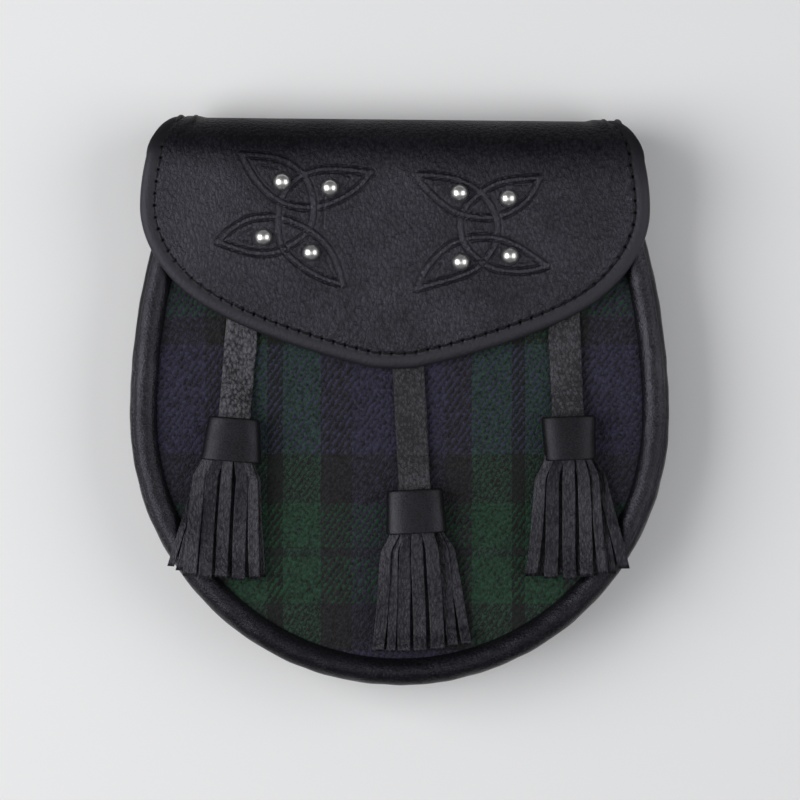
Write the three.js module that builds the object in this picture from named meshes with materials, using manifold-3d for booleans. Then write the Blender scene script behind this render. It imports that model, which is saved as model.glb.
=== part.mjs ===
// A day sporran pouch of black leather with a tartan front, lying on its back.
// One leather forms the back and folds over the top into the flap. A leather gusset is sewn
// round the back and rolls over the edge of the cloth-covered front. Three leather tassels hang
// on straps from under the flap, which is tooled with two knots and set with eight domed studs.
// X is across, Y is up the pouch and Z is out of its front. The back lies on Z = 0, and the origin
// is under the middle of the pouch. Lengths are in millimetres.
import * as THREE from "three";
import { mergeVertices } from "three/addons/utils/BufferGeometryUtils.js";
import Module from "manifold-3d";

const wasm = await Module();
wasm.setup();

// The pouch as a whole
const pouchWidth = 189.6;
const pouchHeight = 199.6;
const pouchDepth = 27; // from the back's outside to the edge of the cloth
const shoulderRadius = 234; // the arc of each side above the widest line
const clearance = 0.3; // between pieces that touch

// Back and flap, one leather
const leatherThickness = 2.6;
const backInset = 0.8; // the back's edge lies this far inside the gusset
const foldReach = 14.6; // how far the fold rises above the line where it starts
const neckPower = 2.2; // how late the fold widens from the back to the flap
const flapHalfWidth = 89.4;
const flapDrop = 73.6; // from the start of the fold to the tip
const flapShift = -1.4; // the flap sits a little to the left
const flapSkewDegrees = -0.6; // and is turned a little
const skewRise = 0.6; // the fold is fully turned at this share of its height
const slotWidth = 6;
const slotLength = 28;
const slotSpacing = 76; // between the two belt slots
const slotHeight = 48; // above the middle of the pouch

// Gusset
const gussetThickness = 1.8;
const rollRadius = 4.8; // of the roll that frames the cloth
const rollDip = 0.6; // the roll's centre lies this far under the cloth's edge
const waistInset = 1.4; // the wall is drawn in at half its height
const heelRadius = 2.6; // of the turn onto the back
const flangeWidth = 8; // sewn to the back inside
const gussetTopGap = 1.2; // the gusset stops this far under the fold

// Front, tartan cloth over leather
const frontThickness = 2.2;
const frontCrown = 1.5; // how far the middle swells
const seamAllowance = 3; // how far the front runs in under the roll
const mouthDrop = 3.6; // the front stops this far under the start of the fold

// Closure
const closureRadius = 5.5;
const closureHeight = 47; // above the middle of the pouch

// Straps and tassels
const strapWidth = 11.3;
const strapThickness = 1.7;
const strapTuck = 16; // hidden under the flap
const strapPlug = 5; // runs into the tassel's head
const strapRise = 2.4; // lifts off the cloth to enter the head
const strapRiseLength = 16;
const headHalfThickness = 4.6;
const headLength = 15.4;
const headRim = 0.8; // rounding of the head's top edge
const stripWidth = 4.9;
const stripThickness = 1.4;
const stripLength = 41;
const stripRoot = 3; // of each strip inside the head
const skirtHalfWidth = 16.4; // to the middle of the outermost strips at their ends

// Studs
const studRadius = 3.1;
const studHeight = 3;
const shankRadius = 1.1;
const shankLength = 2.1;

const leather = { color: 0x2b2a2d, roughness: 0.55, metalness: 0 };
const cloth = { color: 0x25332f, roughness: 0.95, metalness: 0 };
const nickel = { color: 0xd9d8d3, roughness: 0.18, metalness: 1 };

// Each tassel: where its head's top lies, as shares of the half width and of the height, how
// far its foot leans to the left, and the head's half width at its top and its foot. fan moves
// the strips' ends to one side.
const tassels = [
  { name: "left", across: -0.611, up: -0.028, lean: 4.6, headTop: 9, headFoot: 10.5, fan: -0.1 },
  { name: "middle", across: 0.056, up: -0.154, lean: -2.9, headTop: 9.8, headFoot: 10.6, fan: 0 },
  { name: "right", across: 0.624, up: -0.0256, lean: -2.3, headTop: 9.6, headFoot: 8.9, fan: 0.08 },
];

// Each strip of a tassel: its middle at the root and at the end, as shares of the head's and
// the skirt's half width, the layer it lies in from the cloth up, and its share of the length.
const strips = [
  { root: -0.72, end: -0.98, layer: 0, length: 0.97 },
  { root: -0.42, end: -0.56, layer: 0, length: 1 },
  { root: 0, end: 0.02, layer: 0, length: 1 },
  { root: 0.44, end: 0.6, layer: 0, length: 1 },
  { root: 0.72, end: 1, layer: 0, length: 0.96 },
  { root: -0.66, end: -0.76, layer: 1, length: 1 },
  { root: -0.4, end: -0.45, layer: 1, length: 1 },
  { root: -0.13, end: -0.14, layer: 1, length: 1 },
  { root: 0.14, end: 0.17, layer: 1, length: 1 },
  { root: 0.4, end: 0.48, layer: 1, length: 1 },
  { root: 0.66, end: 0.79, layer: 1, length: 0.99 },
];

// The flap's edge from the fold to the tip, as Bezier points: shares of the flap's half width
// and of its drop.
const flapEdge = [
  { side: 0.977, down: 0 },
  { side: 0.992, down: 0.08 },
  { side: 1, down: 0.16 },
  { side: 1, down: 0.235 },
  { side: 1, down: 0.425 },
  { side: 0.88, down: 0.63 },
  { side: 0.711, down: 0.734 },
  { side: 0.526, down: 0.856 },
  { side: 0.274, down: 0.943 },
  { side: 0.1, down: 0.992 },
  { side: 0.075, down: 0.998 },
  { side: 0.05, down: 1 },
  { side: 0.03, down: 1 },
];

// Each stud's place on the flap, as shares of the flap's half width and drop.
const studs = [
  { side: -0.443, down: 0.118 },
  { side: -0.255, down: 0.144 },
  { side: -0.514, down: 0.382 },
  { side: -0.326, down: 0.452 },
  { side: 0.252, down: 0.162 },
  { side: 0.444, down: 0.185 },
  { side: 0.26, down: 0.49 },
  { side: 0.453, down: 0.458 },
];

const halfWidth = pouchWidth / 2;
const top = pouchHeight / 2;
const lobeY = halfWidth - top; // centre of the round lower half
const foldStart = top - foldReach;
const tipY = foldStart - flapDrop;
const crest = pouchDepth - rollDip + rollRadius; // top of the gusset's roll
const flapUnder = crest + 2 * clearance; // the flap's underside where the fold ends
const foldHeight = flapUnder + leatherThickness;
const bandWidth = 2 * rollRadius; // of the roll, seen from the front
const degree = Math.PI / 180;

// The pouch's outline: a half circle below the widest line and a wider arc above it.
// Gives the half width at a height, a stated distance inside the outline.
function outlineAt(y, inset) {
  const up = y - lobeY;
  if (up < 0) return Math.sqrt(Math.max((halfWidth - inset) ** 2 - up ** 2, 0));
  return halfWidth - shoulderRadius + Math.sqrt((shoulderRadius - inset) ** 2 - up ** 2);
}

// How far a point lies inside the outline; negative outside it.
function depthInside(x, y) {
  const up = y - lobeY;
  if (up < 0) return halfWidth - Math.hypot(x, up);
  return shoulderRadius - Math.hypot(Math.abs(x) + shoulderRadius - halfWidth, up);
}

// Height of the cloth: flat at its edge and swelling to the crown in the middle.
function clothHeight(x, y) {
  const share = Math.min(Math.hypot(x, y - lobeY) / (halfWidth - bandWidth), 1);
  return pouchDepth + frontCrown * (1 - share ** 2) ** 2;
}

// Height that something lying on the front rests on: the cloth, and a ramp up over the roll.
function restHeight(x, y) {
  const share = THREE.MathUtils.clamp(2 - depthInside(x, y) / bandWidth, 0, 1);
  return THREE.MathUtils.lerp(clothHeight(x, y), crest, share);
}

// The flap's underside sinks from the fold to where its tip lies on the middle strap.
function flapUnderHeight(y) {
  const share = THREE.MathUtils.clamp((foldStart - y) / flapDrop, 0, 1);
  const tipHeight = clothHeight(0, tipY + strapTuck) + strapThickness + 2 * clearance;
  return flapUnder + (tipHeight - flapUnder) * share ** 2;
}

// A triangle mesh as a geometry, turned inside out if its faces point inwards.
function closedGeometry(points, triangles) {
  let volume = 0;
  const [a, b, c] = [new THREE.Vector3(), new THREE.Vector3(), new THREE.Vector3()];
  for (let i = 0; i < triangles.length; i += 3) {
    a.fromArray(points, 3 * triangles[i]);
    b.fromArray(points, 3 * triangles[i + 1]);
    c.fromArray(points, 3 * triangles[i + 2]);
    volume += a.dot(b.cross(c));
  }
  const geometry = new THREE.BufferGeometry();
  geometry.setAttribute("position", new THREE.Float32BufferAttribute(points, 3));
  geometry.setIndex(volume < 0 ? triangles.slice().reverse() : triangles);
  return geometry;
}

// A wall: each row is a list of [outer, inner] points. Neighbouring rows are joined on both
// faces, and the four rims are closed.
function wallGeometry(rows) {
  const lastRow = rows.length - 1;
  const last = rows[0].length - 1;
  const at = (row, column, side) => 2 * (row * (last + 1) + column) + side;
  const triangles = [];
  const quad = (a, b, c, d) => triangles.push(a, b, c, a, c, d);
  for (let r = 0; r < lastRow; r++) {
    for (let c = 0; c < last; c++) {
      quad(at(r, c, 0), at(r, c + 1, 0), at(r + 1, c + 1, 0), at(r + 1, c, 0));
      quad(at(r, c, 1), at(r + 1, c, 1), at(r + 1, c + 1, 1), at(r, c + 1, 1));
    }
    quad(at(r, 0, 0), at(r + 1, 0, 0), at(r + 1, 0, 1), at(r, 0, 1));
    quad(at(r, last, 0), at(r, last, 1), at(r + 1, last, 1), at(r + 1, last, 0));
  }
  for (let c = 0; c < last; c++) {
    quad(at(0, c, 0), at(0, c, 1), at(0, c + 1, 1), at(0, c + 1, 0));
    quad(at(lastRow, c, 0), at(lastRow, c + 1, 0), at(lastRow, c + 1, 1), at(lastRow, c, 1));
  }
  return closedGeometry(rows.flat(3), triangles);
}

// A turned solid about +Z from a profile of radius and height.
function turnedGeometry(profile, segments) {
  const points = profile.map(([radius, height]) => new THREE.Vector2(radius, height));
  const turned = new THREE.LatheGeometry(points, segments).rotateX(Math.PI / 2);
  turned.deleteAttribute("normal");
  turned.deleteAttribute("uv");
  const merged = mergeVertices(turned, 1e-4);
  const { array } = merged.attributes.position;
  const index = [];
  for (let i = 0; i < merged.index.count; i += 3) {
    const [a, b, c] = merged.index.array.slice(i, i + 3);
    if (a !== b && b !== c && c !== a) index.push(a, b, c);
  }
  return closedGeometry(Array.from(array), index);
}

// A geometry as a solid that can be cut and joined, and back.
function solidOf(geometry) {
  const bare = new THREE.BufferGeometry();
  bare.setAttribute("position", geometry.getAttribute("position"));
  bare.setIndex(geometry.index);
  const merged = mergeVertices(bare, 1e-4);
  return new wasm.Manifold(
    new wasm.Mesh({
      numProp: 3,
      vertProperties: merged.attributes.position.array,
      triVerts: new Uint32Array(merged.index.array),
    }),
  );
}

function geometryOf(solid) {
  const mesh = solid.getMesh();
  const geometry = new THREE.BufferGeometry();
  geometry.setAttribute("position", new THREE.BufferAttribute(mesh.vertProperties, 3));
  geometry.setIndex(new THREE.BufferAttribute(mesh.triVerts, 1));
  return geometry;
}

function piece(name, geometry, finish) {
  const mesh = new THREE.Mesh(geometry, new THREE.MeshStandardMaterial(finish));
  mesh.name = name;
  return mesh;
}

// The flap's edge as points from the fold to the tip, each with its half width and height.
function flapEdgePoints() {
  const perCurve = [6, 14, 12, 3];
  const points = flapEdge.map(
    ({ side, down }) => new THREE.Vector2(side * flapHalfWidth, foldStart - down * flapDrop),
  );
  return perCurve.flatMap((steps, i) => {
    const curve = new THREE.CubicBezierCurve(...points.slice(3 * i, 3 * i + 4));
    return curve.getPoints(steps).slice(i === 0 ? 0 : 1);
  });
}

// Height on the page of the flap's lower edge at a distance across.
function flapEdgeAt(x) {
  const edge = flapEdgePoints();
  const distance = Math.abs(x);
  const i = edge.findIndex((point, k) => k > 0 && point.x <= distance && point.y < lobeY + halfWidth / 2);
  if (i < 1) return tipY;
  const [a, b] = [edge[i - 1], edge[i]];
  return THREE.MathUtils.mapLinear(distance, a.x, b.x, a.y, b.y);
}

// Sections of the back and flap, from the bottom of the back, over the fold to the flap's tip.
// Each gives the half width and the outer and inner point of the leather in the plane X = 0.
function backAndFlapSections() {
  const bottomSteps = 22;
  const sideSteps = 8;
  const foldSteps = 16;
  const bottomHalfWidth = 3;
  const sections = [];
  const back = (y) =>
    sections.push({ half: outlineAt(y, backInset), outer: [y, 0], inner: [y, leatherThickness] });
  const radius = halfWidth - backInset;
  const start = Math.asin(bottomHalfWidth / radius);
  for (let i = 0; i <= bottomSteps; i++) {
    const angle = THREE.MathUtils.lerp(start, Math.PI / 2, i / bottomSteps);
    back(lobeY - radius * Math.cos(angle));
  }
  for (let i = 1; i <= sideSteps; i++) {
    back(THREE.MathUtils.lerp(lobeY, foldStart, i / sideSteps));
  }
  const neck = outlineAt(foldStart, backInset);
  const shoulder = flapEdge[0].side * flapHalfWidth;
  const rise = foldHeight / 2;
  for (let i = 1; i < foldSteps; i++) {
    const angle = (Math.PI * i) / foldSteps;
    const share = ((1 - Math.cos(angle)) / 2) ** neckPower;
    const at = (thickness) => [
      foldStart + (foldReach - thickness) * Math.sin(angle),
      rise - (rise - thickness) * Math.cos(angle),
    ];
    const half = THREE.MathUtils.lerp(neck, shoulder, share);
    sections.push({ half, outer: at(0), inner: at(leatherThickness) });
  }
  for (const { x, y } of flapEdgePoints()) {
    const under = flapUnderHeight(y);
    sections.push({ half: x, outer: [y, under + leatherThickness], inner: [y, under] });
  }
  return sections;
}

// A belt slot through the back, with round ends.
function slotCutter(x) {
  const straight = (slotLength - slotWidth) / 2;
  const shape = new THREE.Shape();
  shape.absarc(0, straight, slotWidth / 2, 0, Math.PI);
  shape.absarc(0, -straight, slotWidth / 2, Math.PI, 2 * Math.PI);
  const depth = 3 * leatherThickness;
  const settings = { depth, bevelEnabled: false, curveSegments: 8 };
  return new THREE.ExtrudeGeometry(shape, settings).translate(x, slotHeight, -leatherThickness);
}

function studPlace({ side, down }) {
  const y = foldStart - down * flapDrop;
  return [side * flapHalfWidth, y, flapUnderHeight(y) + leatherThickness];
}

// The back, the fold over the top and the flap are cut from one leather, with two belt slots
// in the back and a hole in the flap for each stud's shank.
function backAndFlap() {
  const turn = flapSkewDegrees * degree;
  // The flap's half of the leather is shifted and turned; the fold takes up the difference.
  const place = (x, [y, z]) => {
    const share = THREE.MathUtils.smoothstep(z, leatherThickness, skewRise * flapUnder);
    const [shiftedX, shiftedY] = flapToPouch(x, y, turn);
    return [THREE.MathUtils.lerp(x, shiftedX, share), THREE.MathUtils.lerp(y, shiftedY, share), z];
  };
  const across = [-1, 0, 1];
  const rows = backAndFlapSections().map(({ half, outer, inner }) =>
    across.map((share) => [place(share * half, outer), place(share * half, inner)]),
  );
  let solid = solidOf(wallGeometry(rows));
  for (const side of [-1, 1]) {
    solid = solid.subtract(solidOf(slotCutter((side * slotSpacing) / 2)));
  }
  const holeRadius = shankRadius + clearance;
  const hole = turnedGeometry(
    [
      [0, -2 * leatherThickness],
      [holeRadius, -2 * leatherThickness],
      [holeRadius, leatherThickness],
      [0, leatherThickness],
    ],
    12,
  );
  for (const stud of studs) {
    const [x, y, z] = studPlace(stud);
    const [placedX, placedY] = flapToPouch(x, y, turn);
    solid = solid.subtract(solidOf(hole.clone().translate(placedX, placedY, z)));
  }
  return piece("back_and_flap", geometryOf(solid), leather);
}

// A place on the flap, drawn straight, as a place on the pouch.
function flapToPouch(x, y, turn) {
  const dy = y - foldStart;
  return [
    flapShift + x * Math.cos(turn) - dy * Math.sin(turn),
    foldStart + x * Math.sin(turn) + dy * Math.cos(turn),
  ];
}

// The gusset's section as [inset, height] points of its outer face: the roll over the edge of
// the front, the wall, the heel and the flange on the back.
function gussetSection() {
  const rollSteps = 7;
  const heelSteps = 3;
  const rollCentre = pouchDepth - rollDip;
  const floor = leatherThickness + clearance;
  const seam = Math.asin((rollDip + clearance) / rollRadius);
  const points = [];
  for (let i = 0; i <= rollSteps; i++) {
    const angle = THREE.MathUtils.lerp(seam, Math.PI, i / rollSteps);
    points.push([rollRadius + rollRadius * Math.cos(angle), rollCentre + rollRadius * Math.sin(angle)]);
  }
  const heelTop = floor + heelRadius;
  for (const share of [0.3, 0.6, 0.85]) {
    const inset = waistInset * Math.sin(Math.PI * share);
    points.push([inset, THREE.MathUtils.lerp(rollCentre, heelTop, share)]);
  }
  for (let i = 0; i <= heelSteps; i++) {
    const angle = Math.PI * (1 + (0.5 * i) / heelSteps);
    points.push([heelRadius + heelRadius * Math.cos(angle), heelTop + heelRadius * Math.sin(angle)]);
  }
  points.push([flangeWidth + heelRadius, floor]);
  return points;
}

// The gusset's inner face, one thickness inside its outer face. Its first point is lifted to
// clear the cloth.
function gussetInnerSection(points) {
  const inner = points.map(([x, y], i) => {
    const [ax, ay] = points[Math.max(i - 1, 0)];
    const [bx, by] = points[Math.min(i + 1, points.length - 1)];
    const share = gussetThickness / Math.hypot(bx - ax, by - ay);
    return [x - share * (by - ay), y + share * (bx - ax)];
  });
  inner[0][1] = Math.max(inner[0][1], pouchDepth + clearance);
  return inner;
}

// Places round the outline, from the top of the right side, round the bottom to the top of the
// left side. Each is [x, y, inward x, inward y].
function outlinePlaces() {
  const sideSteps = 5;
  const bottomSteps = 32;
  const reach = foldStart - gussetTopGap - lobeY;
  const sideAngle = Math.asin(reach / shoulderRadius);
  const sideCentre = halfWidth - shoulderRadius;
  const place = (centreX, radius, angle) => [
    centreX + radius * Math.cos(angle),
    lobeY + radius * Math.sin(angle),
    -Math.cos(angle),
    -Math.sin(angle),
  ];
  const right = [];
  for (let i = 0; i < sideSteps; i++) {
    right.push(place(sideCentre, shoulderRadius, sideAngle * (1 - i / sideSteps)));
  }
  const bottom = [];
  for (let i = 0; i <= bottomSteps; i++) {
    bottom.push(place(0, halfWidth, (-Math.PI * i) / bottomSteps));
  }
  const left = right.toReversed().map(([x, y, inX, inY]) => [-x, y, -inX, inY]);
  return [...right, ...bottom, ...left];
}

// One strip of leather round the sides and the bottom, rolled over the front's edge and
// turned in on the back.
function gusset() {
  const outer = gussetSection();
  const inner = gussetInnerSection(outer);
  const rows = outlinePlaces().map(([x, y, inX, inY]) => {
    const at = ([inset, height]) => [x + inset * inX, y + inset * inY, height];
    return outer.map((point, i) => [at(point), at(inner[i])]);
  });
  return piece("gusset", wallGeometry(rows), leather);
}

// The front: tartan cloth stretched over leather, with its edge under the roll.
function tartanFront() {
  const bottomSteps = 13;
  const sideSteps = 4;
  const columns = 10;
  const bottomHalfWidth = 6;
  const inset = bandWidth - seamAllowance;
  const radius = halfWidth - inset;
  const start = Math.asin(bottomHalfWidth / radius);
  const heights = [];
  for (let i = 0; i <= bottomSteps; i++) {
    const angle = THREE.MathUtils.lerp(start, Math.PI / 2, i / bottomSteps);
    heights.push(lobeY - radius * Math.cos(angle));
  }
  const mouth = foldStart - mouthDrop;
  for (let i = 1; i <= sideSteps; i++) {
    heights.push(THREE.MathUtils.lerp(lobeY, mouth, i / sideSteps));
  }
  const rows = heights.map((y) => {
    const half = outlineAt(y, inset);
    return Array.from({ length: columns + 1 }, (_, i) => {
      const x = THREE.MathUtils.lerp(-half, half, i / columns);
      const height = clothHeight(x, y);
      return [
        [x, y, height],
        [x, y, height - frontThickness],
      ];
    });
  });
  return piece("tartan_front", wallGeometry(rows), cloth);
}

// The hidden stud that holds the flap shut, from the cloth to the flap's underside.
function closureStud() {
  const bottom = clothHeight(0, closureHeight) + clearance;
  const height = flapUnderHeight(closureHeight) - clearance - bottom;
  const profile = [
    [0, 0],
    [closureRadius, 0],
    [closureRadius, 0.25 * height],
    [0.6 * closureRadius, 0.4 * height],
    [0.6 * closureRadius, 0.6 * height],
    [0.9 * closureRadius, 0.75 * height],
    [0.9 * closureRadius, height],
    [0, height],
  ];
  const mesh = piece("closure_stud", turnedGeometry(profile, 14), nickel);
  mesh.position.set(0, closureHeight, bottom);
  return mesh;
}

// Where a tassel's head starts, the ways along it (down) and across it, and its head's widths.
function tasselFrame({ across, up, lean, headTop, headFoot }) {
  const turn = lean * degree;
  return {
    headTop,
    headFoot,
    x: across * halfWidth,
    y: up * pouchHeight,
    down: [-Math.sin(turn), -Math.cos(turn)],
    across: [Math.cos(turn), -Math.sin(turn)],
  };
}

// The point at a distance down a tassel from its head's top and a distance across it.
function alongTassel(frame, down, across) {
  return [
    frame.x + down * frame.down[0] + across * frame.across[0],
    frame.y + down * frame.down[1] + across * frame.across[1],
  ];
}

// How far a strap has risen off the cloth, at a distance down from the head's top.
function strapLift(down) {
  const share = THREE.MathUtils.clamp((down + strapRiseLength) / strapRiseLength, 0, 1);
  return strapRise * THREE.MathUtils.smoothstep(share, 0, 1);
}

// A strap, flat on the cloth, grown all round by a margin and ending at a distance down.
function strapGeometry(frame, from, to, margin) {
  const steps = 10;
  const rows = Array.from({ length: steps + 1 }, (_, i) => {
    const down = THREE.MathUtils.lerp(from, to, i / steps);
    return [-1, 0, 1].map((side) => {
      const [x, y] = alongTassel(frame, down, side * (strapWidth / 2 + margin));
      const under = clothHeight(x, y) + clearance + strapLift(down) - margin;
      return [
        [x, y, under + strapThickness + 2 * margin],
        [x, y, under],
      ];
    });
  });
  return wallGeometry(rows);
}

function strap(tassel) {
  const frame = tasselFrame(tassel);
  const from = frame.y - flapEdgeAt(frame.x) - strapTuck;
  return piece(`strap_${tassel.name}`, strapGeometry(frame, from, strapPlug, 0), leather);
}

// The rolled head: an oval cylinder with rounded rims, lying on the cloth.
function headGeometry(frame) {
  const segments = 20;
  const stations = [
    { down: 0, share: 1 - headRim / headHalfThickness },
    { down: 0.3 * headRim, share: 1 - (0.3 * headRim) / headHalfThickness },
    { down: headRim, share: 1 },
    { down: headLength - headRim, share: 1 },
    { down: headLength, share: 1 - headRim / headHalfThickness },
  ];
  const points = [];
  for (const { down, share } of stations) {
    const wide = THREE.MathUtils.lerp(frame.headTop, frame.headFoot, down / headLength);
    for (let i = 0; i < segments; i++) {
      const angle = (2 * Math.PI * i) / segments;
      const [x, y] = alongTassel(frame, down, share * wide * Math.cos(angle));
      points.push(x, y, headMiddle(frame) + share * headHalfThickness * Math.sin(angle));
    }
  }
  const triangles = [];
  const at = (station, i) => station * segments + (i % segments);
  for (let s = 0; s < stations.length - 1; s++) {
    for (let i = 0; i < segments; i++) {
      triangles.push(at(s, i), at(s, i + 1), at(s + 1, i + 1));
      triangles.push(at(s, i), at(s + 1, i + 1), at(s + 1, i));
    }
  }
  const end = stations.length - 1;
  for (let i = 1; i < segments - 1; i++) {
    triangles.push(at(0, 0), at(0, i + 1), at(0, i));
    triangles.push(at(end, 0), at(end, i), at(end, i + 1));
  }
  return closedGeometry(points, triangles);
}

// Height of the head's axis: the head lies on the highest cloth under it.
function headMiddle(frame) {
  const rest = [0, headLength].map((down) => clothHeight(...alongTassel(frame, down, 0)));
  return Math.max(...rest) + clearance + headHalfThickness;
}

// One cut strip, from inside the head to its end. It falls from its layer in the head to the
// cloth or the roll, and lies over the strips of the layer below.
function stripGeometry(frame, { root, end, layer, length }, fan) {
  const steps = 6;
  const from = headLength - stripRoot;
  const reach = length * stripLength;
  const rootHeight = headMiddle(frame) + (layer - 0.5) * headHalfThickness;
  const rows = Array.from({ length: steps + 1 }, (_, i) => {
    const share = i / steps;
    const down = from + share * (reach + stripRoot);
    const spread = THREE.MathUtils.lerp(root * frame.headFoot, (end + fan) * skirtHalfWidth, share);
    const narrow = THREE.MathUtils.lerp(0.8, 1, share);
    return [-1, 1].map((side) => {
      const [x, y] = alongTassel(frame, down, spread + (side * narrow * stripWidth) / 2);
      const rest = restHeight(x, y) + clearance + layer * (stripThickness + clearance);
      const under = Math.max(rest, THREE.MathUtils.lerp(rootHeight - stripThickness / 2, rest, share ** 0.7));
      return [
        [x, y, under + stripThickness],
        [x, y, under],
      ];
    });
  });
  return wallGeometry(rows);
}

// A tassel: the strips are rolled into the head, and the strap's end goes into a pocket in it.
function tassel(row) {
  const frame = tasselFrame(row);
  let solid = solidOf(headGeometry(frame));
  for (const strip of strips) {
    solid = solid.add(solidOf(stripGeometry(frame, strip, row.fan)));
  }
  const pocket = strapGeometry(frame, -strapPlug, strapPlug + clearance, clearance);
  return piece(`tassel_${row.name}`, geometryOf(solid.subtract(solidOf(pocket))), leather);
}

// A domed stud on its shank.
function stud(row, number) {
  const domeSteps = 4;
  const profile = [
    [0, -shankLength],
    [shankRadius, -shankLength],
    [shankRadius, clearance],
    [studRadius, clearance],
  ];
  for (let i = 1; i <= domeSteps; i++) {
    const angle = (Math.PI * i) / (2 * domeSteps);
    const radius = i === domeSteps ? 0 : studRadius * Math.cos(angle);
    profile.push([radius, clearance + studHeight * Math.sin(angle)]);
  }
  const mesh = piece(`stud_${number}`, turnedGeometry(profile, 12), nickel);
  const [x, y, z] = studPlace(row);
  const [placedX, placedY] = flapToPouch(x, y, flapSkewDegrees * degree);
  mesh.position.set(placedX, placedY, z);
  return mesh;
}

const sporran = new THREE.Group();
sporran.add(backAndFlap(), gusset(), tartanFront(), closureStud());
for (const row of tassels) sporran.add(strap(row), tassel(row));
studs.forEach((row, i) => sporran.add(stud(row, i + 1)));

export default sporran;
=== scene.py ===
import math

import bpy
import numpy as np
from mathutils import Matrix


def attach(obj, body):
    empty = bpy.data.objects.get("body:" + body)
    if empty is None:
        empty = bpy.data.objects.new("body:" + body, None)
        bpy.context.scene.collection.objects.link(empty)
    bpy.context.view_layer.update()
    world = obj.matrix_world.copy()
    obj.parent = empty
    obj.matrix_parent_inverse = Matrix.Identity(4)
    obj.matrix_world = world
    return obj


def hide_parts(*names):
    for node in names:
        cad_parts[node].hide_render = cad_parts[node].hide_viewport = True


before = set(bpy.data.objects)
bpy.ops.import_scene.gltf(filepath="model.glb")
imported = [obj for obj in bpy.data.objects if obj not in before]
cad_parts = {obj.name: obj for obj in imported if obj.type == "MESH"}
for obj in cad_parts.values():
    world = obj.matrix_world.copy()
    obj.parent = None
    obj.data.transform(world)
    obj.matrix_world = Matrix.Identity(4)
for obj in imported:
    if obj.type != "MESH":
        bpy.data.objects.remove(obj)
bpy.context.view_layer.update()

# Camera. It looks straight down on the pouch, which lies on its back, with the fold at the top
# of the picture. The picture covers 281.5 mm at the height of the cloth, 1.574 m below it.
camera = bpy.data.objects.new("camera", bpy.data.cameras.new("camera"))
camera.data.sensor_width = 36
camera.data.lens = camera.data.sensor_width * 1.574 / 0.2815
camera.location = (0.00018, 0.00058, 1.6)
bpy.context.collection.objects.link(camera)
bpy.context.scene.camera = camera
bpy.context.scene.view_settings.view_transform = "Standard"

# Studio. Two soft boxes stand left and right of the pouch, which gives each stud its two
# highlights, and a wide soft light hangs above. The floor is pale and plain.
floor_reach = 2500
floor_drop = 0.05
pouch_middle = (0, 0, 0.02)


def soft_box(name, place, aim, size, power):
    """A rectangular light at a place, turned so that it shines at a point."""
    data = bpy.data.lights.new(name, "AREA")
    data.shape = "RECTANGLE"
    data.size, data.size_y = size
    data.energy = power
    box = bpy.data.objects.new(name, data)
    box.location = [p - a for p, a in zip(place, aim)]
    box.rotation_euler = box.location.to_track_quat("Z", "Y").to_euler()
    box.location = place
    bpy.context.collection.objects.link(box)


soft_box("soft_box_left", (-1.0, 0.0, 0.95), pouch_middle, (1.2, 1.1), 16.4)
soft_box("soft_box_right", (1.0, 0.0, 0.95), pouch_middle, (1.2, 1.1), 7.6)
soft_box("soft_box_above", (-0.65, -0.37, 1.9), (-0.65, -0.37, 0), (2.2, 1.1), 4.9)


def add(tree, kind, inputs=None, **settings):
    """The outputs of a new node of a kind, with settings. Its inputs are values or outputs."""
    made = tree.nodes.new(kind if kind.startswith("NodeGroup") else "ShaderNode" + kind)
    for name, value in settings.items():
        setattr(made, name, value)
    for name, value in (inputs or {}).items():
        if isinstance(value, bpy.types.NodeSocket):
            tree.links.new(value, made.inputs[name])
        else:
            made.inputs[name].default_value = value
    return made.outputs


world = bpy.data.worlds.new("studio")
bpy.context.scene.world = world
world.use_nodes = True
sky = world.node_tree
sky.nodes.clear()
seen = add(sky, "LightPath")["Is Camera Ray"]
dim = add(sky, "Background", {"Color": (0.9, 0.93, 1, 1), "Strength": 0.16})[0]
pale = add(sky, "Background", {"Color": (0.76, 0.76, 0.76, 1), "Strength": 1})[0]
add(sky, "OutputWorld", {"Surface": add(sky, "MixShader", {0: seen, 1: dim, 2: pale})[0]})


def material(name):
    """An empty material and its node tree."""
    made = bpy.data.materials.new(name)
    made.use_nodes = True
    made.node_tree.nodes.clear()
    return made, made.node_tree


def finish_material(tree, **sockets):
    """The surface shader, with its sockets set or linked, joined to the material's output."""
    named = {name.replace("_", " "): value for name, value in sockets.items()}
    add(tree, "OutputMaterial", {"Surface": add(tree, "BsdfPrincipled", named)[0]})


def mesh_object(name, points, faces, finish):
    """A mesh object in metres from points in millimetres. Its faces are turned outwards: the
    sum of the signed volumes of the faces' triangle fans is made positive."""
    points = np.asarray(points, float).reshape(-1, 3)
    volume = 0.0
    for face in faces:
        corners = points[face]
        for b in range(1, face.shape[1] - 1):
            cross = np.cross(corners[:, b], corners[:, b + 1])
            volume += np.einsum("ij,ij->", corners[:, 0], cross)
    polygons = [row for face in faces for row in (face if volume > 0 else face[:, ::-1]).tolist()]
    mesh = bpy.data.meshes.new(name)
    mesh.from_pydata((points * 0.001).tolist(), [], polygons)
    mesh.materials.append(finish)
    mesh.polygons.foreach_set("use_smooth", np.ones(len(polygons), bool))
    made = bpy.data.objects.new(name, mesh)
    bpy.context.collection.objects.link(made)
    return made


floor_finish, tree = material("pale_floor")
finish_material(tree, Base_Color=(0.8, 0.8, 0.8, 1), Roughness=0.9)
floor_signs = ((-1, -1), (1, -1), (1, 1), (-1, 1))
floor_points = [(x * floor_reach, y * floor_reach, -floor_drop) for x, y in floor_signs]
floor = mesh_object("floor", floor_points, [np.array([[0, 1, 2, 3]])], floor_finish)

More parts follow.
